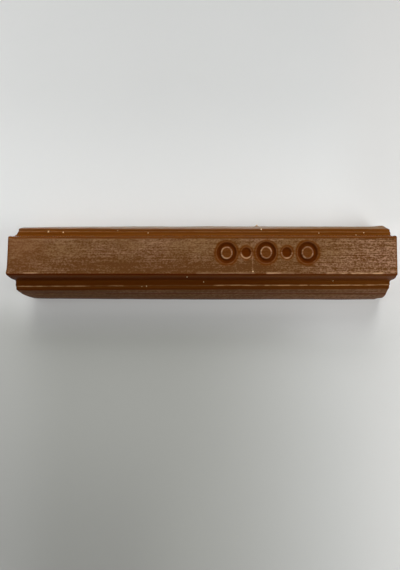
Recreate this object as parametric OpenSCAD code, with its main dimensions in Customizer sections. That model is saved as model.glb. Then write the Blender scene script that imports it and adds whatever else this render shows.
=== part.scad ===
// Furniture repair wax stick: one solid bar of hard wax with a stepped section.
// The bar lies along X on its flat base, ridge up. The origin is the middle of the base.

/* [Bar] */
// Length of the bar, from end to end
bar_length = 100; // [70:1:140]
// Rounding of the top and base edges at the two ends
end_round = 0.4; // [0.2:0.05:0.8]
// Rounding of the four upright corners of the base, seen from above
corner_round = 0.6; // [0.2:0.05:1.2]

/* [Ridge] */
// Width of the ridge at its top, as if its long edges were sharp
ridge_width = 10.4; // [8:0.1:13]
// Height of the ridge's side walls above the ledges
ridge_height = 4.4; // [3:0.1:6]
// Lean of the side walls from upright, in degrees
wall_draft = 12; // [5:0.5:20]
// Rounding of the ridge's two long edges
ridge_round = 0.7; // [0.3:0.05:1]
// Fillet in the corner between a wall and its ledge
wall_fillet = 0.9; // [0.4:0.05:1]

/* [Ledges] */
// Width of a ledge, from the wall to its rim
ledge_width = 1.15; // [0.9:0.05:2]
// How much lower a ledge is at its rim than at the wall
ledge_fall = 0.3; // [0.05:0.05:0.5]
// Rounding of the rim
rim_round = 0.12; // [0.05:0.01:0.15]
// Height of the small step from the rim down to the lip
lip_step = 0.3; // [0.15:0.05:0.5]
// Lean of that step from upright, in degrees
step_draft = 20; // [5:1:40]
// Width of the lip, from the foot of the step to the flank
lip_width = 0.7; // [0.5:0.05:1.2]

/* [Flanks] */
// Height of the flanks, from the base to the lip
flank_height = 8.8; // [6:0.1:11]
// How far a flank spreads outward between the lip and the base
flank_spread = 2.6; // [1.6:0.05:3.5]
// Lean of a flank from upright where it meets the base, in degrees
foot_lean = 7; // [0:0.5:9]
// Rounding of a flank's top and base edges
flank_round = 0.4; // [0.2:0.05:0.6]

/* [Hidden] */
$fn = 96;

// How far a trimming shape runs past the bar
trim_margin = 5;

// Heights of the section's corners above the base
lip_z = flank_height;
rim_z = lip_z + lip_step;
ledge_z = rim_z + ledge_fall;
top_z = ledge_z + ridge_height;

// Distances of the section's corners from the middle plane
ridge_x = ridge_width / 2;
ledge_x = ridge_x + ridge_height * tan(wall_draft);
rim_x = ledge_x + ledge_width;
step_x = rim_x + lip_step * tan(step_draft);
lip_x = step_x + lip_width;
base_x = lip_x + flank_spread;

// A flank is one arc from the lip to the base, which leans by foot_lean where it ends
flank_chord = norm([flank_spread, flank_height]);
flank_half_turn = atan2(flank_spread, flank_height) - foot_lean;
flank_radius = flank_chord / (2 * sin(flank_half_turn));
flank_centre = [base_x, 0] - flank_radius * [cos(foot_lean), sin(foot_lean)];

// Direction from the point p to the point a
function direction(p, a) = (a - p) / norm(a - p);

// Half of the angle at the corner p, whose sides run towards a and b
function half_corner(a, p, b) = acos(direction(p, a) * direction(p, b)) / 2;

// Where an arc that rounds the corner p touches its side towards a
function arc_touch(a, p, b, radius) = p + direction(p, a) * radius / tan(half_corner(a, p, b));

// Centre of the arc that rounds the corner p
function arc_centre(a, p, b, radius) =
    p + direction([0, 0], direction(p, a) + direction(p, b)) * radius / sin(half_corner(a, p, b));

// Draws its children on both sides of the section's middle plane
module both_sides() {
    children();
    mirror([1, 0]) children();
}

// What comes off the straight corner p when an arc rounds it
module corner_cut(a, p, b, radius) {
    centre = arc_centre(a, p, b, radius);
    difference() {
        polygon([arc_touch(a, p, b, radius), centre, arc_touch(b, p, a, radius), 2 * p - centre]);
        translate(centre) circle(radius);
    }
}

// What comes off a flank's rounded edge: side is 1 at the lip and -1 at the base
module flank_cut(edge_z, side) {
    centre_z = edge_z - side * flank_round;
    inner_radius = flank_radius - flank_round;
    run = sqrt(pow(inner_radius, 2) - pow(centre_z - flank_centre.y, 2));
    centre = [flank_centre.x + run, centre_z];
    outward = direction(flank_centre, centre);
    touch = centre + outward * flank_round;
    clear = touch + outward * flank_round;
    beyond_z = edge_z + side * flank_round;
    difference() {
        polygon([[centre.x, beyond_z], centre, touch, clear, [clear.x, beyond_z]]);
        translate(centre) circle(flank_round);
    }
}

// Lower tier: a slab from base to lip between the two bulging flanks
module base_section() {
    difference() {
        intersection() {
            translate([-base_x - trim_margin, 0]) square([2 * (base_x + trim_margin), lip_z]);
            translate(flank_centre) circle(flank_radius);
            mirror([1, 0]) translate(flank_centre) circle(flank_radius);
        }
        both_sides() flank_cut(lip_z, 1);
        both_sides() flank_cut(0, -1);
    }
}

// Upper tier: both ledges and the ridge, rooted inside the lower tier
module ridge_section() {
    top = [ridge_x, top_z];
    foot = [ledge_x, ledge_z];
    rim = [rim_x, rim_z];
    step = [step_x, lip_z];
    root = [step_x, lip_z / 2];
    fillet_on_ledge = arc_touch(rim, foot, top, wall_fillet);
    fillet_on_wall = arc_touch(top, foot, rim, wall_fillet);
    right_side = [root, step, rim, fillet_on_ledge, fillet_on_wall, top];
    left_side = [for (i = [len(right_side) - 1:-1:0]) [-right_side[i].x, right_side[i].y]];
    difference() {
        polygon(concat(right_side, left_side));
        both_sides() translate(arc_centre(top, foot, rim, wall_fillet)) circle(wall_fillet);
        both_sides() corner_cut([0, top_z], top, foot, ridge_round);
        both_sides() corner_cut(foot, rim, step, rim_round);
    }
}

// The bar's section, with Y to the right and Z up
module section() {
    base_section();
    ridge_section();
}

// Rectangle with rounded corners, standing on the middle of its lower edge
module rounded_rectangle(width, height, radius) {
    translate([-width / 2, radius]) square([width, height - 2 * radius]);
    translate([radius - width / 2, 0]) square([width - 2 * radius, height]);
    for (x = [-1, 1], y = [radius, height - radius])
        translate([x * (width / 2 - radius), y]) circle(radius);
}

// The bar: its section run along X, trimmed to its outlines from the front and from above
module wax_bar() {
    color("saddlebrown")
        intersection() {
            rotate([90, 0, 90])
                linear_extrude(bar_length + 2 * trim_margin, center = true)
                    section();
            rotate([90, 0, 0])
                linear_extrude(2 * (base_x + trim_margin), center = true)
                    rounded_rectangle(bar_length, top_z, end_round);
            translate([0, -base_x, -trim_margin])
                linear_extrude(top_z + 2 * trim_margin)
                    rounded_rectangle(bar_length, 2 * base_x, corner_round);
        }
}

wax_bar();
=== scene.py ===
import math

import bmesh
import bpy
import numpy as np
from mathutils import Matrix, Vector, geometry, noise
from mathutils.bvhtree import BVHTree


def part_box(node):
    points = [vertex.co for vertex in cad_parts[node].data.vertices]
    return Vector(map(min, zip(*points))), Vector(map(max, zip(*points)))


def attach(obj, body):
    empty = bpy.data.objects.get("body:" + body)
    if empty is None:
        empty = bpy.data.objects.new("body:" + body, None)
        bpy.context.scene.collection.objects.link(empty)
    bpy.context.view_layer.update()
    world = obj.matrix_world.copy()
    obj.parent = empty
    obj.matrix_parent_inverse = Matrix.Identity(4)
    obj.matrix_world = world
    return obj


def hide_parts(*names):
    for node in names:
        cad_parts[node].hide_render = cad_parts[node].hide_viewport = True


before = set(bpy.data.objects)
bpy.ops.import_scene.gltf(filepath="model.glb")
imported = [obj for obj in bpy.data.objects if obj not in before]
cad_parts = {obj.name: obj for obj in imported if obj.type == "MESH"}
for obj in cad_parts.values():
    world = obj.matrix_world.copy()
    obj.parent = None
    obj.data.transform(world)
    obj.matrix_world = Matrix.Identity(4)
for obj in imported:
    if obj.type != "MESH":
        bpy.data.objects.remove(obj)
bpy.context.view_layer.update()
bar_low, bar_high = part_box("wax_bar")

# Lengths below are millimetres. A mesh or a lamp is scaled to metres when it is made.
# X runs along the bar, Y from front to back and Z up; left and right are as the camera sees them.
MM = 0.001

# Overall sizes, from the frame
BAR_HEIGHT = (bar_high.z - bar_low.z) / MM
HALF_LENGTH = (bar_high.x - bar_low.x) / 2 / MM

# Sizes of the section, as in the solid apart from the roundings, which are those of this one stick
RIDGE_WIDTH = 10.4
RIDGE_HEIGHT = 4.4
WALL_DRAFT = math.radians(12)
LEDGE_WIDTH = 1.15
LEDGE_FALL = 0.3
LIP_STEP = 0.3
STEP_DRAFT = math.radians(20)
LIP_WIDTH = 0.7
FLANK_SPREAD = 2.6
FOOT_LEAN = math.radians(7)
RIDGE_ROUND = 0.45
WALL_FILLET = 0.9
RIM_ROUND = 0.14
STEP_FILLET = 0.12
FLANK_ROUND = 0.4
END_ROUND = 0.35

# Places of the section's corners: distance from the middle plane and height
RIDGE_Y = RIDGE_WIDTH / 2
LEDGE_Y = RIDGE_Y + RIDGE_HEIGHT * math.tan(WALL_DRAFT)
RIM_Y = LEDGE_Y + LEDGE_WIDTH
STEP_Y = RIM_Y + LIP_STEP * math.tan(STEP_DRAFT)
LIP_Y = STEP_Y + LIP_WIDTH
BASE_Y = LIP_Y + FLANK_SPREAD
LEDGE_Z = BAR_HEIGHT - RIDGE_HEIGHT
RIM_Z = LEDGE_Z - LEDGE_FALL
LIP_Z = RIM_Z - LIP_STEP

# Distance between the mesh's points, and how many points or rings a rounded form has
FINE_SPACING = 0.15
WALL_SPACING = 0.3
RING_SPACING = 0.36
CAP_SPACING = 0.8
BASE_SPACING = 1.2
FLANK_POINTS = 27
FLANK_CLEAR = 2
END_RINGS = 4
CAP_BORDER = 0.6

# The stamped row on the top: rings and dots by turns, struck by hand
STAMP_X = 16.9
STAMP_Y = 0.85
STAMP_PITCH = 5.15
STAMP_COUNT = 5
STAMP_WANDER_X = 0.12
STAMP_WANDER_Y = 0.1
STAMP_DEPTH = 0.45
STAMP_DEPTH_SPREAD = 0.15
STAMP_SLOPE = 0.5
STAMP_SQUASH = 0.92
RING_RADIUS = 2.0
HALF_STROKE = 0.62
DOT_RADIUS = 1.3
BEAD_HEIGHT = 0.09
BEAD_WIDTH = 0.3
BEAD_REACH = 0.9
HALO_WAVER = 0.2
SCRATCH_X = 13.45

# How uneven the casting is all along
END_SKEW = 0.012
END_STRETCH = 0.5
RIM_TAPER = 0.15
RIM_WAVE = 0.07
RIM_LIFT = 0.04
FRONT_RIM_SPREAD = 0.14
FRONT_RIM_TAPER = 0.09
LEFT_RIM_SPREAD = 0.06
FOOT_SWELL = 0.12
FOOT_BOW = 0.25
FOOT_WAVE = 0.08
FOOT_INSET = 0.1
FOOT_SHIFT = 0.25
RIDGE_DRAW_IN = 0.225
RIDGE_SHIFT = 0.005
SURFACE_WAVE = 0.04
SURFACE_GRAIN = 0.012
NICK_DEPTH = 0.1

# The fine crease along the front flank
CREASE_Z = 6.6
CREASE_DROP = 0.45
CREASE_WAVE = 0.25
CREASE_WIDTH = 0.42
CREASE_DEPTH = 0.08

# Forms at one place each: how far each moves the surface
EAR_FLARE = 0.25
WALL_HOLLOW = 0.3
CORNER_PUSH = 0.2
TIER_SETBACK = 0.4
FOOT_WEAR = 1.2
WEB_REACH = 0.9
FRONT_BULGE = 0.3
FRONT_FOOT_SPREAD = 0.1
FOOT_CHIP = 0.4
BACK_SLIMMING = 0.22
BURR_X = 15.7
BURR_HEIGHT = 0.3
BACK_BULGE = 0.35
FRONT_LEAN = 1.1
CORNER_LEAN = 0.45
BACK_LEAN = 0.4

# Zones of the section. The brow is the top's border along its rounded edge.
BROW_WIDTH = 0.25
TOP_ZONES = ("top", "brow")
NARROW_ZONES = ("ledge", "rim", "step", "lip", "shoulder")
ZONE_BLUR = 0.14

# Scuffing, painted shade, and wear with painted highlight of each zone, from 0 to 1; a zone that isn't
# named has none
SCUFF = {"top": 1.0, "brow": 1.0, "ridge_edge": 0.02, "wall": 0.08, "rim": 0.3, "lip": 0.05,
         "shoulder": 0.05, "flank": 0.7, "base_edge": 0.15, "base": 0.8}
# Painted shade by zone, on the front wall, ledges and edges and on the back ridge edge
SHADE_PAINT_BY_ZONE = {"ridge_edge": 0.35, "wall": 0.45, "wall_foot": 0.45, "ledge": 0.54, "step": 0.43,
        "shoulder": 0.57, "base_edge": 0.3}
BACK_SHADE_PAINT_BY_ZONE = {"ridge_edge": 0.25}
# Edges that are partly worn and partly painted highlight
WEAR_AND_HIGHLIGHT = {"brow": 1.0, "rim": 1.0}
CAP_MARKS = {"scuff": 0.6, "wear_and_highlight": 0.0, "painted_shade": 0.0}

# Stretches of the front edges, worn and with painted highlight: from and to along the bar, and how bright
BROW_STRETCHES = [(-46, -42, 0.7), (-1, 14, 0.4), (17, 24, 1.0), (32.4, 34.8, 1.1),
                  (35.4, 37.8, 1.1), (38.6, 47, 1.5)]
RIM_STRETCHES = [(-49.6, -30, 0.8), (-25, -21, 0.7), (3.4, 17, 0.8), (17, 28.5, 1.2), (29.3, 50, 1.2)]
STRETCH_FADE = 0.4

# How far smooth noise is shifted along X, Y and Z from one seed to the next
SEED_SHIFT = np.array((17.31, 5.13, 9.72))


# Shared number helpers

def smooth_step(value, low, high):
    """0 at low, 1 at high, smooth between and level beyond; low may be the larger one."""
    t = np.clip((value - low) / (high - low), 0, 1)
    return t * t * (3 - 2 * t)


def hump(distance, width):
    """1 at distance 0, fading smoothly over width."""
    return np.exp(-((distance / width) ** 2))


def along_stretches(x, stretches):
    """How bright the worn stretch, with its painted highlight, is at each place along the bar, with soft
    ends, and 0 between.
    """
    total = np.zeros_like(x)
    for start, end, bright in stretches:
        begun = smooth_step(x, start - STRETCH_FADE, start + STRETCH_FADE)
        not_ended = smooth_step(x, end + STRETCH_FADE, end - STRETCH_FADE)
        total = np.maximum(total, bright * begun * not_ended)
    return total


def smooth_noise(x, y, z, seed):
    """Smooth noise of about -1 to 1 for arrays of places, one cycle per unit."""
    x, y, z = np.broadcast_arrays(x, y, z)
    places = np.stack((x.ravel(), y.ravel(), z.ravel()), axis=1) + seed * SEED_SHIFT
    return np.array([noise.noise(place) for place in places.tolist()]).reshape(x.shape)


# The bar's section

def line_points(start, end, spacing):
    """Points between start and end, without either, about spacing apart."""
    count = max(1, round(np.linalg.norm(end - start) / spacing))
    return [start + (end - start) * k / count for k in range(1, count)]


def corner_points(before, corner, after, radius, count=6):
    """Points of the arc that rounds a corner between its neighbours before and after."""
    to_before = (before - corner) / np.linalg.norm(before - corner)
    to_after = (after - corner) / np.linalg.norm(after - corner)
    half_angle = math.acos(to_before @ to_after) / 2
    middle = (to_before + to_after) / np.linalg.norm(to_before + to_after)
    centre = corner + middle * radius / math.sin(half_angle)
    start = corner + to_before * radius / math.tan(half_angle) - centre
    end = corner + to_after * radius / math.tan(half_angle) - centre
    turn = math.pi - 2 * half_angle
    angles = np.linspace(0, turn, count)
    return [centre + (start * math.sin(turn - a) + end * math.sin(a)) / math.sin(turn) for a in angles]


def flank_points():
    """Points of the bulging flank, one arc from lip to base, clear of its two rounded edges."""
    chord = math.hypot(FLANK_SPREAD, LIP_Z)
    half_turn = math.atan2(FLANK_SPREAD, LIP_Z) - FOOT_LEAN
    radius = chord / (2 * math.sin(half_turn))
    centre = np.array((BASE_Y - radius * math.cos(FOOT_LEAN), -radius * math.sin(FOOT_LEAN)))
    angles = np.linspace(FOOT_LEAN + 2 * half_turn, FOOT_LEAN, FLANK_POINTS)
    clear_angles = angles[FLANK_CLEAR:-FLANK_CLEAR]
    return [centre + radius * np.array((math.cos(a), math.sin(a))) for a in clear_angles]


def half_section():
    """Zones and places (outward, up) of points from the top's middle round to the base's middle."""
    top_middle = np.array((0, BAR_HEIGHT))
    ridge_corner = np.array((RIDGE_Y, BAR_HEIGHT))
    ledge_corner = np.array((LEDGE_Y, LEDGE_Z))
    rim_corner = np.array((RIM_Y, RIM_Z))
    step_corner = np.array((STEP_Y, LIP_Z))
    lip_corner = np.array((LIP_Y, LIP_Z))
    base_corner = np.array((BASE_Y, 0))
    base_middle = np.array((0, 0))
    flank = flank_points()
    ridge_edge = corner_points(top_middle, ridge_corner, ledge_corner, RIDGE_ROUND, count=9)
    wall_foot = corner_points(ridge_corner, ledge_corner, rim_corner, WALL_FILLET, count=8)
    rim = corner_points(ledge_corner, rim_corner, step_corner, RIM_ROUND)
    step_foot = corner_points(rim_corner, step_corner, lip_corner, STEP_FILLET, count=4)
    shoulder = corner_points(step_corner, lip_corner, flank[0], FLANK_ROUND)
    base_edge = corner_points(flank[-1], base_corner, base_middle, FLANK_ROUND)
    brow_start = ridge_edge[0] - (BROW_WIDTH, 0)
    runs = [("top", [top_middle] + line_points(top_middle, brow_start, FINE_SPACING)),
            ("brow", [brow_start] + line_points(brow_start, ridge_edge[0], FINE_SPACING)),
            ("ridge_edge", ridge_edge),
            ("wall", line_points(ridge_edge[-1], wall_foot[0], WALL_SPACING)),
            ("wall_foot", wall_foot),
            ("ledge", line_points(wall_foot[-1], rim[0], FINE_SPACING)),
            ("rim", rim),
            ("step", step_foot),
            ("lip", line_points(step_foot[-1], shoulder[0], FINE_SPACING)),
            ("shoulder", shoulder),
            ("flank", flank),
            ("base_edge", base_edge),
            ("base", line_points(base_edge[-1], base_middle, BASE_SPACING) + [base_middle])]
    zones = [zone for zone, points in runs for _ in points]
    places = np.array([point for _, points in runs for point in points])
    return zones, places


def whole_section():
    """Zones, places across and up, and outward directions of the points once round the section."""
    zones, places = half_section()
    mirrored = places[-2:0:-1] * (-1, 1)
    zones = zones + zones[-2:0:-1]
    places = np.concatenate((places, mirrored))
    along = np.roll(places, -1, axis=0) - np.roll(places, 1, axis=0)
    outward = np.stack((-along[:, 1], along[:, 0]), axis=1)
    outward /= np.linalg.norm(outward, axis=1)[:, None]
    return zones, places, outward


def zone_mask(zones, names):
    """Whether each point of the section is in one of the named zones."""
    return np.array([zone in names for zone in zones])


def zone_values(zones, places, values):
    """A value for each point of the section by its zone, blurred a little into its neighbours."""
    raw = np.array([values.get(zone, 0) for zone in zones])
    steps = np.linalg.norm(np.diff(places, axis=0, append=places[:1]), axis=1)
    distance = np.cumsum(steps) - steps
    gap = np.abs(distance[:, None] - distance[None, :])
    weight = hump(np.minimum(gap, steps.sum() - gap), ZONE_BLUR) * steps
    return weight @ raw / weight.sum(axis=1)


# The stamped row

def stamp_marks():
    """Centre, depth and kind of each mark, a little off true as from a hand punch."""
    marks = []
    for k in range(STAMP_COUNT):
        step = k - (STAMP_COUNT - 1) / 2
        x = STAMP_X + step * STAMP_PITCH + STAMP_WANDER_X * math.sin(5.0 * k + 1)
        y = STAMP_Y + STAMP_WANDER_Y * math.sin(7.0 * k)
        depth = STAMP_DEPTH * (1 + STAMP_DEPTH_SPREAD * math.sin(3.0 * k + 2))
        is_ring = k % 2 == 0
        marks.append((x, y, depth, is_ring))
    return marks


def stamp_relief(x, y):
    """The stamped row's height above the top, and its polish, painted shade and painted edge highlight from
    0 to 1.
    """
    height = np.zeros(np.broadcast(x, y).shape)
    polish = np.zeros_like(height)
    stamp_shade = np.zeros_like(height)
    stamp_highlight = np.zeros_like(height)
    waver = HALO_WAVER * smooth_noise(x * 0.8, y * 0.8, 0.0, 9)
    for mark_x, mark_y, depth, is_ring in stamp_marks():
        from_centre = np.hypot(x - mark_x, (y - mark_y) * STAMP_SQUASH)
        if is_ring:
            edge = np.abs(from_centre - RING_RADIUS) - HALF_STROKE
            lit_side = from_centre < RING_RADIUS
            island = smooth_step(from_centre, RING_RADIUS, RING_RADIUS - 0.5)
            polish = np.maximum(polish, 0.85 * island)
            # The ring's inner side gets painted shade
            stamp_shade = np.maximum(stamp_shade, 0.5 * lit_side)
        else:
            edge = from_centre - DOT_RADIUS
            lit_side = y < mark_y
        groove = smooth_step(edge, 0, -STAMP_SLOPE)
        bead = hump(edge - BEAD_WIDTH, BEAD_WIDTH)
        height = np.minimum(height, -depth * groove) + BEAD_HEIGHT * bead * (groove == 0)
        polish = np.maximum(polish, smooth_step(edge + waver, BEAD_REACH, BEAD_REACH * 0.3))
        # Painted shade in the groove
        stamp_shade = np.maximum(stamp_shade, smooth_step(edge, 0.05, -0.2))
        # A painted highlight along the edge, strong on the lit side
        edge_light = np.where(lit_side, 0.95, 0.12)
        stamp_highlight = np.maximum(stamp_highlight, hump(edge - 0.05, 0.13) * edge_light)
    # The polished halo gets some painted shade as well
    stamp_shade = np.maximum(stamp_shade, 0.35 * polish)
    return height, polish, stamp_shade, stamp_highlight


# The uneven casting: each function takes places on the bar and gives back what it moves

def crease(x, z):
    """1 along the fine crease of the front flank, fading to 0 beside it."""
    drop = CREASE_DROP * smooth_step(x, -28, -12)
    height = CREASE_Z - drop + CREASE_WAVE * smooth_noise(x * 0.05, 0.0, 0.0, 11)
    return hump(z - height, CREASE_WIDTH)


def wavy_sides(x, y, z):
    """Rims and feet wander, the ridge's edges draw in, and a crease runs along the front flank."""
    side = np.sign(y)
    out = np.abs(y)
    end_share = x / HALF_LENGTH
    rim_share = smooth_step(out, LEDGE_Y, RIM_Y) * smooth_step(z, 0, LIP_Z)
    foot_share = smooth_step(z, LIP_Z, 0) * out / BASE_Y
    rim_ripple = smooth_noise(x * 0.11, side * 3.0, 0.0, 1)
    rim_ripple = rim_ripple + 0.5 * smooth_noise(x * 0.45, side * 3.0, 0.0, 2)
    foot_ripple = smooth_noise(x * 0.09, side * 3.0, 0.0, 3)
    foot_ripple = foot_ripple + 0.4 * smooth_noise(x * 0.35, side * 3.0, 0.0, 4)
    y = y + side * rim_share * (RIM_WAVE * rim_ripple - RIM_TAPER * end_share)
    front_spread = FRONT_RIM_SPREAD - FRONT_RIM_TAPER * end_share
    front_spread = front_spread + LEFT_RIM_SPREAD * smooth_step(x, -12, -28)
    y = y - front_spread * rim_share * (side < 0)
    foot_out = FOOT_SWELL - FOOT_BOW * end_share**2 + FOOT_WAVE * foot_ripple
    y = y + side * foot_share * (foot_out - FOOT_INSET - FOOT_SHIFT * side)
    z = z + rim_share * RIM_LIFT * smooth_noise(x * 0.2, side * 3.0, 0.0, 5)
    ridge_edge = smooth_step(z, LEDGE_Z + 2, BAR_HEIGHT) * smooth_step(out, 3.5, 4.5)
    y = y - (RIDGE_DRAW_IN * side + RIDGE_SHIFT) * ridge_edge
    y = y + CREASE_DEPTH * crease(x, z) * (y < -LIP_Y)
    return y, z


def flared_ears(x, y, z):
    """At both ends the ridge's back corners flare out over a hollow in the wall."""
    near_end = hump(HALF_LENGTH - np.abs(x), 0.9)
    on_wall = smooth_step(y, RIDGE_Y - 1.6, RIDGE_Y - 0.4) * smooth_step(z, LEDGE_Z + 0.3, LEDGE_Z + 1.2)
    flare = EAR_FLARE * smooth_step(z, BAR_HEIGHT - 2.2, BAR_HEIGHT - 0.8)
    hollow = WALL_HOLLOW * hump(z - LEDGE_Z - 1.9, 0.9)
    return y + near_end * on_wall * (flare - hollow)


def worn_left_end(x, y, z):
    """The left end's forms, which all move along the bar."""
    # The ridge's front corner is pushed out
    near_corner = hump(x + HALF_LENGTH, 1.2) * hump(y + RIDGE_Y - 0.9, 0.8)
    x = x - CORNER_PUSH * (near_corner * smooth_step(z, LEDGE_Z + 1, BAR_HEIGHT))
    # The lower tiers stop short of the ridge, and the front foot is worn round
    x = x + TIER_SETBACK * hump(x + HALF_LENGTH, 3.0) * smooth_step(z, LEDGE_Z + 2, LEDGE_Z)
    x = x + FOOT_WEAR * hump(x + HALF_LENGTH, 2.5) * smooth_step(z, 8.0, 0) * smooth_step(y, -4, -9)
    # A web of wax is left in the corner between the back ledge and the ridge
    web = hump(y - LEDGE_Y + 0.1, 0.6) * smooth_step(z, LEDGE_Z + 2.4, LEDGE_Z + 1.0)
    web = web * smooth_step(z, 5.5, 8.5)
    return x - WEB_REACH * web * hump(x + HALF_LENGTH, 1.5)


def uneven_flanks(x, y, z):
    """Bulges, hollows and chips of the two flanks."""
    # The front flank stands out at the right end, and its foot is chipped there
    y = y - FRONT_BULGE * hump(x - HALF_LENGTH, 5.0) * hump(z - 5.3, 2.0) * (y < -LIP_Y)
    y = y - FRONT_FOOT_SPREAD * smooth_step(x, 20, 40) * smooth_step(z, 5, 1) * (y < -LIP_Y)
    y = y + FOOT_CHIP * smooth_step(x, 48.6, 49.4) * smooth_step(z, 2.5, 0.5) * (y < -LIP_Y)
    # The back flank is slim at the left end, has a burr, and stands out halfway up at the right end
    y = y - BACK_SLIMMING * hump(x + HALF_LENGTH, 9.0) * hump(z - 4.0, 2.6) * (y > LIP_Y)
    y = y + BURR_HEIGHT * hump(x - BURR_X, 0.4) * hump(z - 2.2, 1.6) * (y > LIP_Y)
    return y + BACK_BULGE * hump(x - HALF_LENGTH, 2.0) * hump(z - 4.8, 1.5) * (y > LIP_Y)


def leaning_right_end(x, y, z):
    """The right end leans out towards its foot, and its back tier runs long."""
    front_lean = FRONT_LEAN * smooth_step(z, 9.4, 1.5) + CORNER_LEAN * hump(z - 11.3, 1.3)
    back_lean = BACK_LEAN * smooth_step(z, BAR_HEIGHT, LEDGE_Z)
    at_front = smooth_step(y, 5, -5)
    return x + hump(x - HALF_LENGTH, 3.0) * (at_front * front_lean + (1 - at_front) * back_lean)


def uneven_bar(x, y, z):
    """Moves the points of the straight bar to where a soft casting really has them."""
    end_share = x / HALF_LENGTH
    y, z = wavy_sides(x, y, z)
    y = flared_ears(x, y, z)
    x = worn_left_end(x, y, z)
    y = uneven_flanks(x, y, z)
    x = leaning_right_end(x, y, z)
    # Both ends run a little long and out of square
    x = x + END_STRETCH * end_share + END_SKEW * y * np.abs(end_share)
    return x, y, z


# The marks and painted light that the material shows, from 0 to 1

def scuffing(zones, places, x, z, polish, in_crease):
    """How scuffed each point is: less at the ends, under the lip, at the foot and in the crease."""
    scuff = zone_values(zones, places, SCUFF) * np.ones_like(x)
    from_end = HALF_LENGTH - np.abs(x)
    scuff = scuff * (1 - polish) * (0.1 + 0.9 * smooth_step(from_end, 0.15, 0.6))
    under_lip = 0.1 + 0.9 * smooth_step(z, LIP_Z + 0.4, LIP_Z - 0.8)
    scuff = np.where((z < LIP_Z) & (z > 6), scuff * under_lip, scuff)
    at_foot = 0.25 + 0.75 * smooth_step(z, 1.2, 3.2)
    scuff = np.where(zone_mask(zones, ("base",)), scuff, scuff * at_foot)
    return scuff * (1 - 0.9 * in_crease)


def edge_wear_and_highlight(x, y, z):
    """How pale the edges are, partly from wear and partly painted highlight: bright stretches along the
    front, and little at the back.
    """
    is_brow = z > LEDGE_Z + 1
    at_left = smooth_step(x, -24, -34)
    brow_wear_and_highlight = along_stretches(x, BROW_STRETCHES)
    rim_wear_and_highlight = 0.15 + along_stretches(x, RIM_STRETCHES)
    front_wear_and_highlight = np.where(is_brow, brow_wear_and_highlight, rim_wear_and_highlight)
    back_wear_and_highlight = np.where(is_brow, 0.2 * at_left, 0.15 + 0.15 * at_left)
    return np.where(y < 0, front_wear_and_highlight, back_wear_and_highlight)


def scratch_line(x, y):
    """The pale scratch across the top, beside a stamped mark."""
    return 0.4 * hump(x - SCRATCH_X, 0.1) * smooth_step(y, -4.1, -3.8) * smooth_step(y, 1.5, 0.0)


def painted_shade_on_bar(zones, places, outward, x, y, z):
    """Painted shade on the front wall, ledges, edges and back ridge edge, and darker towards the front
    foot; less towards the right end.
    """
    to_right = smooth_step(x, 10, 35)
    on_front = y < 0
    shade = zone_values(zones, places, SHADE_PAINT_BY_ZONE) * on_front * (1 - 0.5 * to_right)
    shade = shade + zone_values(zones, places, BACK_SHADE_PAINT_BY_ZONE) * (y > 0)
    facing_up = zone_mask(zones, ("ridge_edge",)) * smooth_step(outward[:, 1], 0.5, 0.85)
    edge_line = facing_up * on_front * (1 - 0.3 * to_right)
    low_wall = 0.8 * smooth_step(z, LEDGE_Z + 3.6, LEDGE_Z + 2.6)
    low_wall = low_wall * smooth_step(z, LEDGE_Z + 0.5, LEDGE_Z + 1.0)
    low_wall = low_wall * on_front * (1 - 0.4 * to_right)
    low_wall = low_wall * ~zone_mask(zones, TOP_ZONES)
    foot = 0.5 * smooth_step(z, 3.2, 1.6) * (y < -LIP_Y)
    return np.maximum.reduce([shade, edge_line, low_wall, foot])


# The bar's mesh

def ring_stations():
    """Place along the bar of each ring, and how far the ends' rounding draws that ring in."""
    stamp_half = STAMP_PITCH * STAMP_COUNT / 2 + BEAD_REACH
    straight_end = HALF_LENGTH - END_ROUND
    stops = [(-straight_end, RING_SPACING), (STAMP_X - stamp_half, FINE_SPACING),
             (STAMP_X + stamp_half, RING_SPACING), (straight_end, None)]
    middle = []
    for (start, spacing), (end, _) in zip(stops, stops[1:]):
        middle += list(np.linspace(start, end, round((end - start) / spacing) + 1)[:-1])
    middle.append(straight_end)
    turns = np.linspace(0, math.pi / 2, END_RINGS + 1)[1:]
    end_x = straight_end + END_ROUND * np.sin(turns)
    end_inset = END_ROUND * (1 - np.cos(turns))
    x = np.concatenate((-end_x[::-1], middle, end_x))
    inset = np.concatenate((end_inset[::-1], np.zeros(len(middle)), end_inset))
    return x, inset


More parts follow.
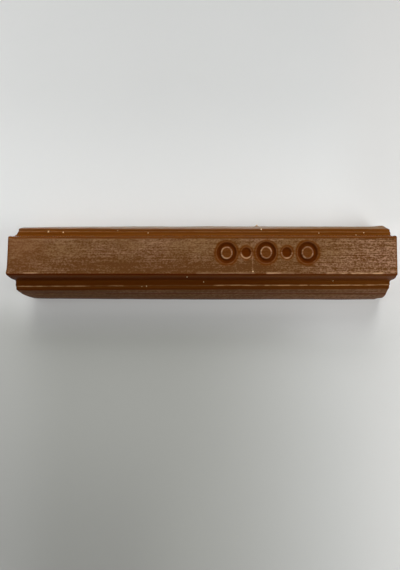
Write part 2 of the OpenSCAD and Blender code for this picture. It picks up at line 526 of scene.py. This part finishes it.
def bar_surface():
    """Points of the bar ring by ring, with the scuffing, the wear with painted highlight, and the painted
    shade of each.
    """
    zones, places, outward = whole_section()
    stations, inset = ring_stations()
    x = np.repeat(stations[:, None], len(zones), axis=1)
    y = np.repeat(places[None, :, 0], len(stations), axis=0)
    z = np.repeat(places[None, :, 1], len(stations), axis=0)
    on_top = zone_mask(zones, TOP_ZONES)
    on_base = zone_mask(zones, ("base",))
    worn_and_highlit = zone_values(zones, places, WEAR_AND_HIGHLIGHT)

    stamp_height, polish, stamp_shade, stamp_highlight = stamp_relief(x, y)
    polish = polish * on_top
    in_crease = crease(x, z) * (y < -LIP_Y)
    scuff = scuffing(zones, places, x, z, polish, in_crease)

    wave = SURFACE_WAVE * smooth_noise(x * 0.16, y * 0.2, z * 0.2, 6)
    grain = SURFACE_GRAIN * smooth_noise(x * 0.7, y * 1.6, z * 1.6, 7)
    nick = smooth_step(smooth_noise(x * 0.75, np.sign(y) * 4.0, z * 0.3, 8), 0.25, 0.6)
    move = (wave + grain * (1 - polish)) * (1 - 0.9 * on_base) - NICK_DEPTH * nick * worn_and_highlit
    move = move - inset[:, None] * np.where(zone_mask(zones, NARROW_ZONES), 0.35, 1.0)
    y = y + move * outward[:, 0]
    z = z + move * outward[:, 1] + stamp_height * on_top
    x, y, z = uneven_bar(x, y, np.maximum(z, 0))

    # Painted highlight along the stamped edges, with the real pale scratch
    top_highlight_and_scratch = np.maximum(stamp_highlight, scratch_line(x, y)) * on_top
    # Edge wear, partly real and partly painted highlight
    wear_and_highlight = worn_and_highlit * edge_wear_and_highlight(x, y, z) + top_highlight_and_scratch
    shade = painted_shade_on_bar(zones, places, outward, x, y, z)
    # Painted shade in the stamped marks, on the front wall and edges and in the crease; the front foot is
    # darker too
    painted_shade = np.maximum.reduce([0.72 * stamp_shade * on_top, shade, 0.65 * in_crease])
    return np.stack((x, y, z), axis=2), {"scuff": scuff, "wear_and_highlight": wear_and_highlight, "painted_shade": painted_shade}


def cap_faces(ring, first_index):
    """New points that close an end, and triangles; the ring counts from 0, new points from first_index."""
    outline = [Vector((y, z)) for _, y, z in ring]
    back_half = ring[ring[:, 1] >= 0]
    back_half = back_half[np.argsort(back_half[:, 2], kind="stable")]
    inner = []
    for z in np.arange(CAP_BORDER, BAR_HEIGHT - 0.5, CAP_SPACING):
        reach = np.interp([z - 0.35, z, z + 0.35], back_half[:, 2], back_half[:, 1]).min()
        half = reach - CAP_BORDER
        count = max(2, round(2 * half / CAP_SPACING))
        inner += [Vector((y, z)) for y in np.linspace(-half, half, count)]
    loop = list(range(len(outline)))
    found = geometry.delaunay_2d_cdt(outline + inner, [], [loop], 1, 1e-6)
    places, _, triangles, sources, _, _ = found
    on_outline = [bool(source) and source[0] < len(outline) for source in sources]
    y, z = np.array([place for place, known in zip(places, on_outline) if not known]).T
    end_x = math.copysign(HALF_LENGTH, ring[0, 0])
    x, _, _ = uneven_bar(np.full_like(y, end_x), y, z)
    x = x + 0.06 * smooth_noise(y * 0.5, z * 0.5, end_x, 10)
    index = {}
    for k, (source, known) in enumerate(zip(sources, on_outline)):
        index[k] = source[0] if known else first_index + k - sum(on_outline[:k])
    new_points = np.stack((x, y, z), axis=1).tolist()
    return new_points, [[index[k] for k in triangle] for triangle in triangles]


def tube_faces(ring_count, ring_size):
    """Four-sided faces between each ring and the next."""
    faces = []
    for i in range(ring_count - 1):
        this_ring = i * ring_size
        next_ring = this_ring + ring_size
        for j in range(ring_size):
            k = (j + 1) % ring_size
            faces.append((this_ring + j, this_ring + k, next_ring + k, next_ring + j))
    return faces


def turn_faces_outward(mesh):
    """Makes all faces of a closed mesh face outward."""
    edited = bmesh.new()
    edited.from_mesh(mesh)
    bmesh.ops.recalc_face_normals(edited, faces=edited.faces)
    edited.to_mesh(mesh)
    edited.free()


def add_object(name, data):
    """A new object in the scene with the given mesh, lamp or camera."""
    made = bpy.data.objects.new(name, data)
    bpy.context.collection.objects.link(made)
    return made


def make_bar():
    """The whole bar as one closed mesh, with its marks as point attributes."""
    points, marks = bar_surface()
    ring_count, ring_size, _ = points.shape
    vertices = points.reshape(-1, 3).tolist()
    faces = tube_faces(ring_count, ring_size)
    for i in (0, ring_count - 1):
        start = i * ring_size
        new_points, triangles = cap_faces(points[i], len(vertices))
        faces += [[k + start if k < ring_size else k for k in triangle] for triangle in triangles]
        vertices += new_points
    mesh = bpy.data.meshes.new("wax_bar_cast")
    mesh.from_pydata([Vector(v) * MM for v in vertices], [], faces)
    for name, values in marks.items():
        padded = np.full(len(vertices), CAP_MARKS[name])
        padded[:values.size] = values.ravel()
        mesh.attributes.new(name, "FLOAT", "POINT").data.foreach_set("value", padded)
    turn_faces_outward(mesh)
    mesh.shade_smooth()
    return add_object("wax_bar_cast", mesh)


# Materials

# Colours of the wax: polished and deep, painted shade, under the scuffing, scuffed, tinted, painted sheen,
# worn with painted highlight
DEEP_WAX = (0.134, 0.038, 0.0037, 1)
DEEP_WAX_STREAK = (0.174, 0.053, 0.0058, 1)
# Painted shade: the darker wax of the front wall, edges, stamped grooves and crease, and of the front foot
PAINTED_SHADE_WAX = (0.075, 0.010, 0.0003, 1)
UNDER_FLANK = (0.117, 0.057, 0.023, 1)
UNDER_TOP = (0.130, 0.050, 0.014, 1)
SCUFFED_WAX = (0.288, 0.160, 0.072, 1)
REDDISH_WAX = (0.390, 0.222, 0.136, 1)
LEFT_END_WAX = (0.25, 0.098, 0.040, 1)
# Painted sheen on the back flank below the lip
BACK_FLANK_SHEEN = (0.30, 0.195, 0.085, 1)
# Worn edges, partly real wear and partly painted highlight
WORN_HIGHLIT_RIM = (0.58, 0.32, 0.145, 1)
WORN_HIGHLIT_BROW = (0.62, 0.38, 0.21, 1)
WAX_GLINT = (1.0, 0.5, 0.15, 1)
WAX_GLOW = (1.0, 0.4, 0.15)
CRUMB_BROWN = (0.90, 0.60, 0.30, 1)
CRUMB_PALE = (1.0, 0.80, 0.48, 1)
WAX_IOR = 1.44

# Colours of the table: plain, painted light round the bar and past its ends, and painted shade to the right
# and in front of it
TABLE_LOW = (0.77, 0.78, 0.77, 1)
TABLE_HIGH = (0.81, 0.82, 0.81, 1)
TABLE_LIT_BESIDE_BAR = (0.86, 0.87, 0.86, 1)
TABLE_LIT_BEHIND_BAR = (0.92, 0.93, 0.92, 1)
TABLE_SHADED_TO_RIGHT = (0.80, 0.80, 0.785, 1)
TABLE_LIT_PAST_ENDS = (0.97, 0.97, 0.96, 1)
TABLE_SHADED_UNDER_LAMP = (0.64, 0.65, 0.64, 1)
TABLE_SHADE = (0.42, 0.425, 0.398, 1)
TABLE_SHADE_LEFT = (0.37, 0.373, 0.35, 1)

# Colour of the far table and the room where they are seen, and of the room's own light
BACKDROP_COLOUR = (0.60, 0.61, 0.60, 1)
AMBIENT_COLOUR = (0.04, 0.04, 0.04, 1)


class Nodes:
    """Short calls that add nodes to one material or world."""

    def __init__(self, owner):
        owner.use_nodes = True
        self.tree = owner.node_tree
        self.tree.nodes.clear()

    def add(self, kind, inputs=(), **settings):
        """A node with its settings; an input that is a socket is linked, and any other is set."""
        node = self.tree.nodes.new(kind)
        for name, value in settings.items():
            setattr(node, name, value)
        for name, value in dict(inputs).items():
            if isinstance(value, bpy.types.NodeSocket):
                self.tree.links.new(value, node.inputs[name])
            else:
                node.inputs[name].default_value = value
        return node

    def attribute(self, name):
        """A mark of the mesh's points."""
        return self.add("ShaderNodeAttribute", attribute_name=name).outputs["Fac"]

    def coordinates(self):
        """Place on the piece, in metres."""
        return self.add("ShaderNodeTexCoord").outputs["Object"]

    def axes(self):
        """Place along X, Y and Z, in metres."""
        place = self.add("ShaderNodeSeparateXYZ", {0: self.coordinates()})
        return [place.outputs[axis] for axis in "XYZ"]

    def noise(self, scale, detail=2.0, roughness=0.5, distortion=0.0):
        """Noise of about 0.25 to 0.75; scale gives its cycles per millimetre along X, Y and Z."""
        per_metre = [cycles / MM for cycles in scale]
        mapping = self.add("ShaderNodeMapping", {"Vector": self.coordinates(), "Scale": per_metre})
        inputs = {"Vector": mapping.outputs["Vector"], "Scale": 1.0, "Detail": detail,
                  "Roughness": roughness, "Distortion": distortion}
        return self.add("ShaderNodeTexNoise", inputs).outputs["Fac"]

    def math(self, operation, a, b=0.0, clamp=False):
        return self.add("ShaderNodeMath", {0: a, 1: b}, operation=operation, use_clamp=clamp).outputs[0]

    def total(self, first, *others):
        """The sum of its terms."""
        for term in others:
            first = self.math("ADD", first, term)
        return first

    def product(self, first, *others):
        """The product of its factors."""
        for factor in others:
            first = self.math("MULTIPLY", first, factor)
        return first

    def rest(self, share):
        """What a share leaves of 1."""
        return self.math("SUBTRACT", 1.0, share)

    def remap(self, value, low, high, to_low=0.0, to_high=1.0):
        """to_low where the value is low, to_high where it is high, smooth between and level beyond."""
        inputs = {"Value": value, "From Min": low, "From Max": high, "To Min": to_low, "To Max": to_high}
        return self.add("ShaderNodeMapRange", inputs, interpolation_type="SMOOTHSTEP").outputs["Result"]

    def ramp(self, place, low, high, to_low=0.0, to_high=1.0):
        """The same for a place in metres, with low and high in millimetres."""
        return self.remap(place, low * MM, high * MM, to_low, to_high)

    def mix(self, factor, a, b):
        inputs = {0: factor, 6: a, 7: b}
        return self.add("ShaderNodeMix", inputs, data_type="RGBA").outputs[2]

    def seen(self):
        """1 where the camera sees the place directly, mirrored or through something clear, else 0."""
        ray = self.add("ShaderNodeLightPath").outputs
        seen = self.math("ADD", ray["Is Camera Ray"], ray["Is Glossy Ray"])
        return self.math("ADD", seen, ray["Is Transmission Ray"], clamp=True)


def wax_noises(n):
    """The wax's noises by name, from fine grain to long streaks along the bar."""
    return {"grain": n.noise((2.2, 3.0, 3.0), 1.0, 0.6),
            "speckle": n.noise((1.2, 1.0, 1.0), 1.0),
            "strokes": n.noise((0.42, 2.6, 2.6), 2.0, 0.5, 0.4),
            "dashes": n.noise((0.35, 1.2, 1.2), 3.0, 0.6),
            "mottle": n.noise((0.16, 0.4, 0.4), 3.0, 0.55, 0.3),
            "patches": n.noise((0.06, 0.13, 0.13), 2.0),
            "flow": n.noise((0.03, 0.7, 1.0), 2.0, 0.55),
            "streaks": n.noise((0.03, 2.6, 2.6), 3.0, 0.6)}


def top_haze(n, x, y, noises):
    """How hazy the top is: grain, strokes and streaks, strongest at the right end, with painted shade along
    the front.
    """
    right_end = n.ramp(x, 20, 48)

    def by_end(usual, at_right_end):
        return n.remap(right_end, 0.0, 1.0, usual, at_right_end)

    grain = n.math("POWER", n.remap(noises["grain"], 0.25, 0.75), by_end(1.0, 1.8))
    grain = n.math("SUBTRACT", grain, by_end(0.5, 0.34))
    grain = n.product(grain, by_end(0.72, 1.0))
    mottle = n.remap(noises["mottle"], 0.35, 0.65, -0.14, 0.14)
    streaks = n.product(n.remap(noises["streaks"], 0.35, 0.65, -0.5, 0.5), by_end(0.36, 0.62))
    strokes = n.product(n.remap(noises["strokes"], 0.32, 0.68, -0.5, 0.5), by_end(0.32, 0.5))
    haze = n.total(grain, by_end(0.455, 0.43), mottle, streaks, strokes)
    # Painted shade along the top's front half, strongest near the middle and none at the right end
    from_shade_middle = n.math("ABSOLUTE", n.math("ADD", x, 6 * MM))
    front_painted_shade = n.product(n.ramp(from_shade_middle, 10, 34, 0.57, 0.34), n.rest(right_end))
    to_front = n.rest(n.ramp(y, -4, 3))
    return n.math("SUBTRACT", haze, n.product(to_front, front_painted_shade))


def flank_haze(n, x, noises):
    """How hazy the flanks are: long flow lines and specks, calmer on the end faces."""
    flow = n.remap(noises["flow"], 0.35, 0.65, 0.08, 0.56)
    speckle = n.remap(noises["speckle"], 0.3, 0.7, -0.25, 0.25)
    haze = n.total(flow, speckle, n.ramp(x, -10, 30, -0.25, 0.02))
    from_middle = n.math("ABSOLUTE", x)
    haze = n.product(haze, n.ramp(from_middle, 48.6, 49.6, 1.0, 0.3))
    return n.total(haze, n.ramp(from_middle, 48.6, 49.6, 0.0, 0.2))


def scuffed_colour(n, axes, noises, below_lip):
    """Colour of scuffed wax: pale haze over a deeper brown, with a few tinted places and a painted sheen on
    the back flank.
    """
    x, y, z = axes
    on_top = n.ramp(z, 12, 13.3)
    haze = n.mix(on_top, flank_haze(n, x, noises), top_haze(n, x, y, noises))
    near_right_end = n.ramp(x, 30, 45, 0.0, 0.7)
    reddish = n.math("ADD", near_right_end, n.remap(noises["patches"], 0.42, 0.6, 0.0, 0.6), clamp=True)
    pale = n.mix(reddish, SCUFFED_WAX, REDDISH_WAX)
    colour = n.mix(haze, n.mix(on_top, UNDER_FLANK, UNDER_TOP), pale)
    left_end = n.product(n.ramp(x, -36, -48, 0.0, 0.35), n.ramp(y, -3, 3, 0.4, 1.0))
    colour = n.mix(left_end, colour, LEFT_END_WAX)
    # Painted sheen: the back flank is paler below the lip
    back_flank_sheen = n.product(n.ramp(y, 5, 8, 0.0, 0.6), below_lip)
    return n.mix(back_flank_sheen, colour, BACK_FLANK_SHEEN)


def wear_and_highlight_share(n, wear_and_highlight, noises):
    """How far the worn colour, with its painted highlight, covers an edge: in dashes, and steadier where
    the value is above 1.
    """
    steady = n.math("MULTIPLY", n.math("MAXIMUM", n.math("SUBTRACT", wear_and_highlight, 1.0), 0.0), 0.4)
    dashed = n.product(wear_and_highlight, n.remap(noises["dashes"], 0.4, 0.6, 0.3, 1.0))
    return n.math("ADD", dashed, steady, clamp=True)


def wax_material():
    """Hard brown wax: glossy and saturated in the ledges and stamps, hazy where it is scuffed."""
    material = bpy.data.materials.new("brown_wax")
    n = Nodes(material)
    scuff = n.attribute("scuff")
    noises = wax_noises(n)
    axes = n.axes()
    x, y, z = axes
    below_lip = n.ramp(z, 9.0, 8.3)

    colour = n.mix(n.remap(noises["streaks"], 0.35, 0.65), DEEP_WAX, DEEP_WAX_STREAK)
    # Painted shade: darker wax on the front wall, edges, stamped marks, crease and front foot
    colour = n.mix(n.attribute("painted_shade"), colour, PAINTED_SHADE_WAX)
    colour = n.mix(scuff, colour, scuffed_colour(n, axes, noises, below_lip))
    # Worn edges, partly real wear and partly painted highlight
    worn_and_highlit = n.mix(n.ramp(z, 10, 12), WORN_HIGHLIT_RIM, WORN_HIGHLIT_BROW)
    colour = n.mix(wear_and_highlight_share(n, n.attribute("wear_and_highlight"), noises), colour, worn_and_highlit)

    coat = n.product(below_lip, n.ramp(y, -5, 5, 0.05, 0.42), n.ramp(x, 15, 38, 1.05, 0.15),
                     n.ramp(z, 2.5, 7, 0.25, 1.3))
    relief = n.total(n.product(noises["grain"], scuff), n.product(noises["streaks"], 0.3))
    bump = n.add("ShaderNodeBump", {"Height": relief, "Strength": 0.6, "Distance": 0.05 * MM})
    inputs = {"Base Color": colour,
              "Roughness": n.remap(scuff, 0.0, 1.0, 0.22, 0.65),
              "Normal": bump.outputs["Normal"],
              "IOR": WAX_IOR,
              "Specular IOR Level": 0.02,
              "Specular Tint": WAX_GLINT,
              "Coat Weight": coat,
              "Coat Roughness": 0.2,
              "Coat IOR": 1.4,
              "Subsurface Weight": 0.15,
              "Subsurface Radius": WAX_GLOW,
              "Subsurface Scale": 0.6 * MM}
    shader = n.add("ShaderNodeBsdfPrincipled", inputs)
    n.add("ShaderNodeOutputMaterial", {"Surface": shader.outputs["BSDF"]})
    return material


def crumb_material():
    """Pale specks: shaved wax that has turned light at its broken edges."""
    material = bpy.data.materials.new("pale_wax_crumbs")
    n = Nodes(material)
    colour = n.mix(n.noise((3.0, 3.0, 3.0), 2.0), CRUMB_BROWN, CRUMB_PALE)
    inputs = {"Base Color": colour, "Roughness": 0.5, "IOR": WAX_IOR, "Specular IOR Level": 0.1}
    shader = n.add("ShaderNodeBsdfPrincipled", inputs)
    n.add("ShaderNodeOutputMaterial", {"Surface": shader.outputs["BSDF"]})
    return material


def table_colour(n, x, y):
    """Colour of the open table: very faintly mottled, with painted light round the bar and past its ends,
    and painted shade to the right.
    """
    colour = n.mix(n.noise((0.02, 0.02, 0.02), 3.0), TABLE_LOW, TABLE_HIGH)
    # Painted light round and behind the bar
    beside_bar = n.ramp(n.math("ABSOLUTE", y), 55, 20)
    colour = n.mix(beside_bar, colour, TABLE_LIT_BESIDE_BAR)
    behind_bar = n.product(n.ramp(y, 24, 12), n.ramp(y, -4, 4))
    colour = n.mix(behind_bar, colour, TABLE_LIT_BEHIND_BAR)
    # Painted shade towards the right
    colour = n.mix(n.ramp(x, 34, 54), colour, TABLE_SHADED_TO_RIGHT)
    # Painted light past the bar's ends
    past_ends = n.total(n.ramp(x, -46, -52), n.ramp(x, 46, 54, 0.0, 0.5))
    past_ends = n.product(past_ends, n.ramp(y, -7, 3), n.ramp(y, 14, 7))
    colour = n.mix(past_ends, colour, TABLE_LIT_PAST_ENDS)
    # Painted shade further right, towards the right lamps
    under_lamp = n.ramp(x, 62, 92)
    return n.mix(under_lamp, colour, TABLE_SHADED_UNDER_LAMP)


def shade_share(n, x, y):
    """How far the painted shade covers the table towards the front and left; past the bar's ends it starts
    further back.
    """
    to_front = n.ramp(y, -8, -24)
    past_ends = n.ramp(n.math("ABSOLUTE", x), 46, 58)
    earlier = n.math("SUBTRACT", n.ramp(y, 3, -22), to_front)
    to_front = n.total(to_front, n.product(earlier, past_ends))
    to_left = n.product(n.ramp(x, 78, -12, 0.26, 1.0), n.ramp(x, -36, -60, 1.0, 0.84))
    # Less painted shade beside the bar's right end
    by_right_end = n.product(n.ramp(x, 18, 42), n.ramp(x, 56, 48), n.ramp(y, -27, -15, 0.0, 0.6))
    return n.product(to_front, to_left, n.rest(by_right_end))


def floor_material():
    """Pale table top with painted light round the bar and painted shade towards the front left, fading into
    the backdrop.
    """
    material = bpy.data.materials.new("pale_table")
    n = Nodes(material)
    x, y, _ = n.axes()
    far_left = n.product(n.ramp(y, -40, -85), n.ramp(x, 0, -25))
    shade = n.mix(far_left, TABLE_SHADE, TABLE_SHADE_LEFT)
    colour = n.mix(shade_share(n, x, y), table_colour(n, x, y), shade)
    table = n.add("ShaderNodeBsdfPrincipled", {"Base Color": colour, "Roughness": 0.6, "IOR": 1.3})
    backdrop = n.add("ShaderNodeEmission", {"Color": BACKDROP_COLOUR, "Strength": 1.0})
    distance = n.add("ShaderNodeVectorMath", {0: n.coordinates()}, operation="LENGTH")
    far = n.ramp(distance.outputs["Value"], 98, 150)
    inputs = {0: n.product(far, n.seen()), 1: table.outputs["BSDF"], 2: backdrop.outputs["Emission"]}
    shader = n.add("ShaderNodeMixShader", inputs)
    n.add("ShaderNodeOutputMaterial", {"Surface": shader.outputs["Shader"]})
    return material


# Crumbs of wax that cling to the bar: place along the bar, place across it and radius
CRUMBS = [(-41.6, 7.3, 0.19), (-37.5, 7.1, 0.16), (-22.7, 7.7, 0.10), (-14.3, 6.9, 0.12),
          (16.4, 7.9, 0.16), (31.8, 6.8, 0.12), (43.8, 6.9, 0.12), (41.6, 6.2, 0.12),
          (13.5, -4.0, 0.16), (-3.5, -5.3, 0.14), (-14.6, -7.5, 0.15), (-15.9, -7.6, 0.11),
          (35.2, -6.1, 0.12), (0.8, -6.4, 0.12), (15.9, 10.3, 0.2)]
CRUMB_LENGTH = 1.3
CRUMB_HEIGHT = 0.7
CRUMB_ROUGHNESS = 0.45
CRUMB_LIFT = 0.3


def make_crumbs(bar):
    """Small broken lumps, each sunk a little into the surface under it."""
    corners = [vertex.co for vertex in bar.data.vertices]
    faces = [face.vertices for face in bar.data.polygons]
    surface = BVHTree.FromPolygons(corners, faces)
    down = Vector((0, 0, -1))
    lumps = bmesh.new()
    for k, (x, y, radius) in enumerate(CRUMBS):
        point, normal, _, _ = surface.ray_cast(Vector((x, y, 2 * BAR_HEIGHT)) * MM, down)
        made = bmesh.ops.create_icosphere(lumps, subdivisions=2, radius=1.0)["verts"]
        turn = normal.to_track_quat("Z", "X")
        for vertex in made:
            bump = noise.noise(vertex.co * 1.3 + Vector((7.0 * k, 0, 0)))
            size = radius * MM * (1 + CRUMB_ROUGHNESS * bump)
            flat = Vector((vertex.co.x * CRUMB_LENGTH, vertex.co.y, vertex.co.z * CRUMB_HEIGHT))
            vertex.co = point + turn @ (flat * size) + normal * radius * MM * CRUMB_LIFT
    mesh = bpy.data.meshes.new("wax_crumbs")
    lumps.to_mesh(mesh)
    lumps.free()
    return add_object("wax_crumbs", mesh)


# Stage, light and camera

TABLE_HALF_SIZE = 2500
TABLE_GAP = 0.01


def make_floor():
    """The table top, a hair below the bar's base, so that the two faces don't coincide."""
    half = TABLE_HALF_SIZE * MM
    corners = [(-half, -half, 0), (half, -half, 0), (half, half, 0), (-half, half, 0)]
    mesh = bpy.data.meshes.new("table_top")
    mesh.from_pydata(corners, [], [(0, 1, 2, 3)])
    mesh.materials.append(floor_material())
    floor = add_object("table_top", mesh)
    floor.location.z = -TABLE_GAP * MM


def make_lamp(name, place, target, size, power, spread=180):
    """A soft rectangular lamp that faces its target, in metres, watts and degrees of spread."""
    data = bpy.data.lights.new(name, "AREA")
    data.shape = "RECTANGLE"
    data.size, data.size_y = size
    data.energy = power
    data.spread = math.radians(spread)
    lamp = add_object(name, data)
    lamp.location = place
    lamp.rotation_euler = (Vector(target) - Vector(place)).to_track_quat("-Z", "Y").to_euler()


def make_world():
    """Dim surroundings that look pale where they are seen or mirrored."""
    world = bpy.data.worlds.new("soft_room")
    bpy.context.scene.world = world
    n = Nodes(world)
    colour = n.mix(n.seen(), AMBIENT_COLOUR, BACKDROP_COLOUR)
    background = n.add("ShaderNodeBackground", {"Color": colour, "Strength": 1.0})
    n.add("ShaderNodeOutputWorld", {"Surface": background.outputs["Background"]})


# The photograph's camera, fitted to the bar's edges; image sizes are in pixels
IMAGE_LONG_SIDE = 570
FOCAL_LENGTH = 400
SENSOR_SIZE = 36
CAMERA_PLACE = (1.79, -13.73, 116.47)
CAMERA_PITCH = math.radians(3.471)
CAMERA_YAW = math.radians(-1.054)
CAMERA_ROLL = math.radians(0.057)


def make_camera():
    """The camera, which looks almost straight down on the bar."""
    data = bpy.data.cameras.new("photo_camera")
    data.sensor_width = SENSOR_SIZE
    data.lens = SENSOR_SIZE * FOCAL_LENGTH / IMAGE_LONG_SIDE
    data.clip_start = 5 * MM
    ahead = Vector((0, math.sin(CAMERA_PITCH), -math.cos(CAMERA_PITCH)))
    up = Vector((0, math.cos(CAMERA_PITCH), math.sin(CAMERA_PITCH)))
    right = Vector((1, 0, 0))
    cos_yaw, sin_yaw = math.cos(CAMERA_YAW), math.sin(CAMERA_YAW)
    ahead, right = ahead * cos_yaw + right * sin_yaw, right * cos_yaw - ahead * sin_yaw
    cos_roll, sin_roll = math.cos(CAMERA_ROLL), math.sin(CAMERA_ROLL)
    right, up = right * cos_roll + up * sin_roll, up * cos_roll - right * sin_roll
    turn = Matrix((right, up, -ahead)).transposed().to_4x4()
    camera = add_object("photo_camera", data)
    camera.matrix_world = Matrix.Translation(Vector(CAMERA_PLACE) * MM) @ turn
    bpy.context.scene.camera = camera


make_camera()
make_floor()
make_world()
make_lamp("back_softbox", (0.0, 0.36, 0.23), (0.0, 0.06, 0.0), (0.8, 0.3), 0.44, 40)
make_lamp("right_softbox", (0.21, -0.11, 0.20), (0.21, -0.11, 0.0), (0.12, 0.25), 0.64)
make_lamp("left_softbox", (-0.18, 0.05, 0.18), (-0.18, 0.05, 0.0), (0.1, 0.2), 0.22)
make_lamp("low_right_softbox", (0.30, -0.05, 0.12), (0.0, 0.0, 0.0), (0.3, 0.2), 0.06)
bpy.context.scene.view_settings.view_transform = "Standard"

bar = make_bar()
bar.data.materials.append(wax_material())
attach(bar, "root")
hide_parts("wax_bar")

crumbs = make_crumbs(bar)
crumbs.data.materials.append(crumb_material())
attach(crumbs, "root")
